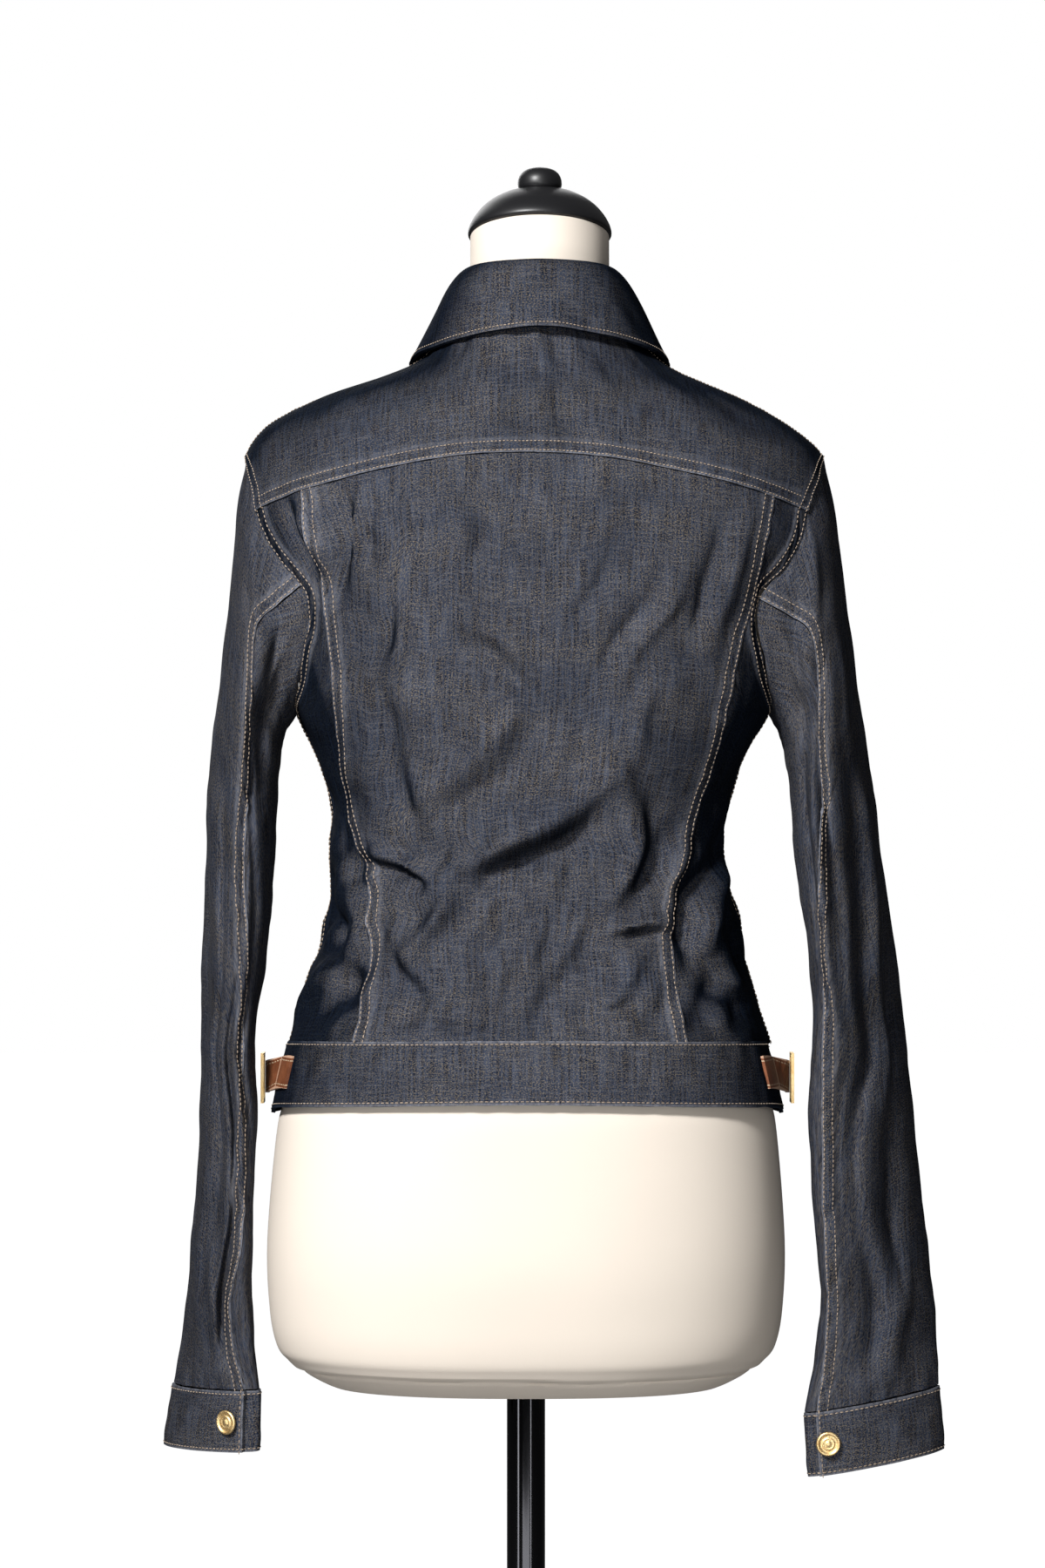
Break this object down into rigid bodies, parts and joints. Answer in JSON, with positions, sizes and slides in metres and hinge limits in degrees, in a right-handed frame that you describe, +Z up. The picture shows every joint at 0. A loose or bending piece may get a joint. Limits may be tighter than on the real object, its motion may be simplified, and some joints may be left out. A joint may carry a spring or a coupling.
{
  "type": "denim jacket on a dress form",
  "caption": "Fitted denim jacket with folded collar, yoke, long sleeves and side tabs, on a limbless dress form with pole and round base.",
  "frame": {"origin": "centre of the stand's underside, on the floor under the pole", "axes": "+Z up the pole, -Y to the wearer's front, +X to the wearer's left"},
  "size_m": [0.5182, 0.32, 1.4909],
  "materials": {
    "denim": "dark indigo denim twill with pale speckle and tan topstitching",
    "brass": "warm brass, lightly worn",
    "leather": "brown leather with painted edges",
    "form_cover": "cream stretch cotton jersey",
    "black_satin": "black satin cloth",
    "black_chrome": "polished black chrome",
    "black_lacquer": "gloss black lacquer on steel"
  },
  "bodies": {
    "root": {"back_centre": "denim", "back_side_left": "denim", "back_side_right": "denim", "back_yoke": "denim", "front_left": "denim", "front_right": "denim", "waistband_back": "denim", "waistband_front_left": "denim", "waistband_front_right": "denim", "sleeve_upper_left": "denim", "sleeve_under_left": "denim", "sleeve_upper_right": "denim", "sleeve_under_right": "denim", "cuff_left": "denim", "cuff_right": "denim", "collar": "denim", "cuff_button_left": "brass", "cuff_button_right": "brass", "front_button_1": "brass", "front_button_2": "brass", "front_button_3": "brass", "front_button_4": "brass", "front_button_5": "brass", "front_button_6": "brass", "side_tab_left": "leather", "side_tab_right": "leather", "buckle_left": "brass", "buckle_right": "brass", "dress_form": "form_cover", "neck_cap": "black_satin", "neck_knob": "black_satin", "pole": "black_chrome", "base": "black_lacquer"}
  },
  "joints": []
}
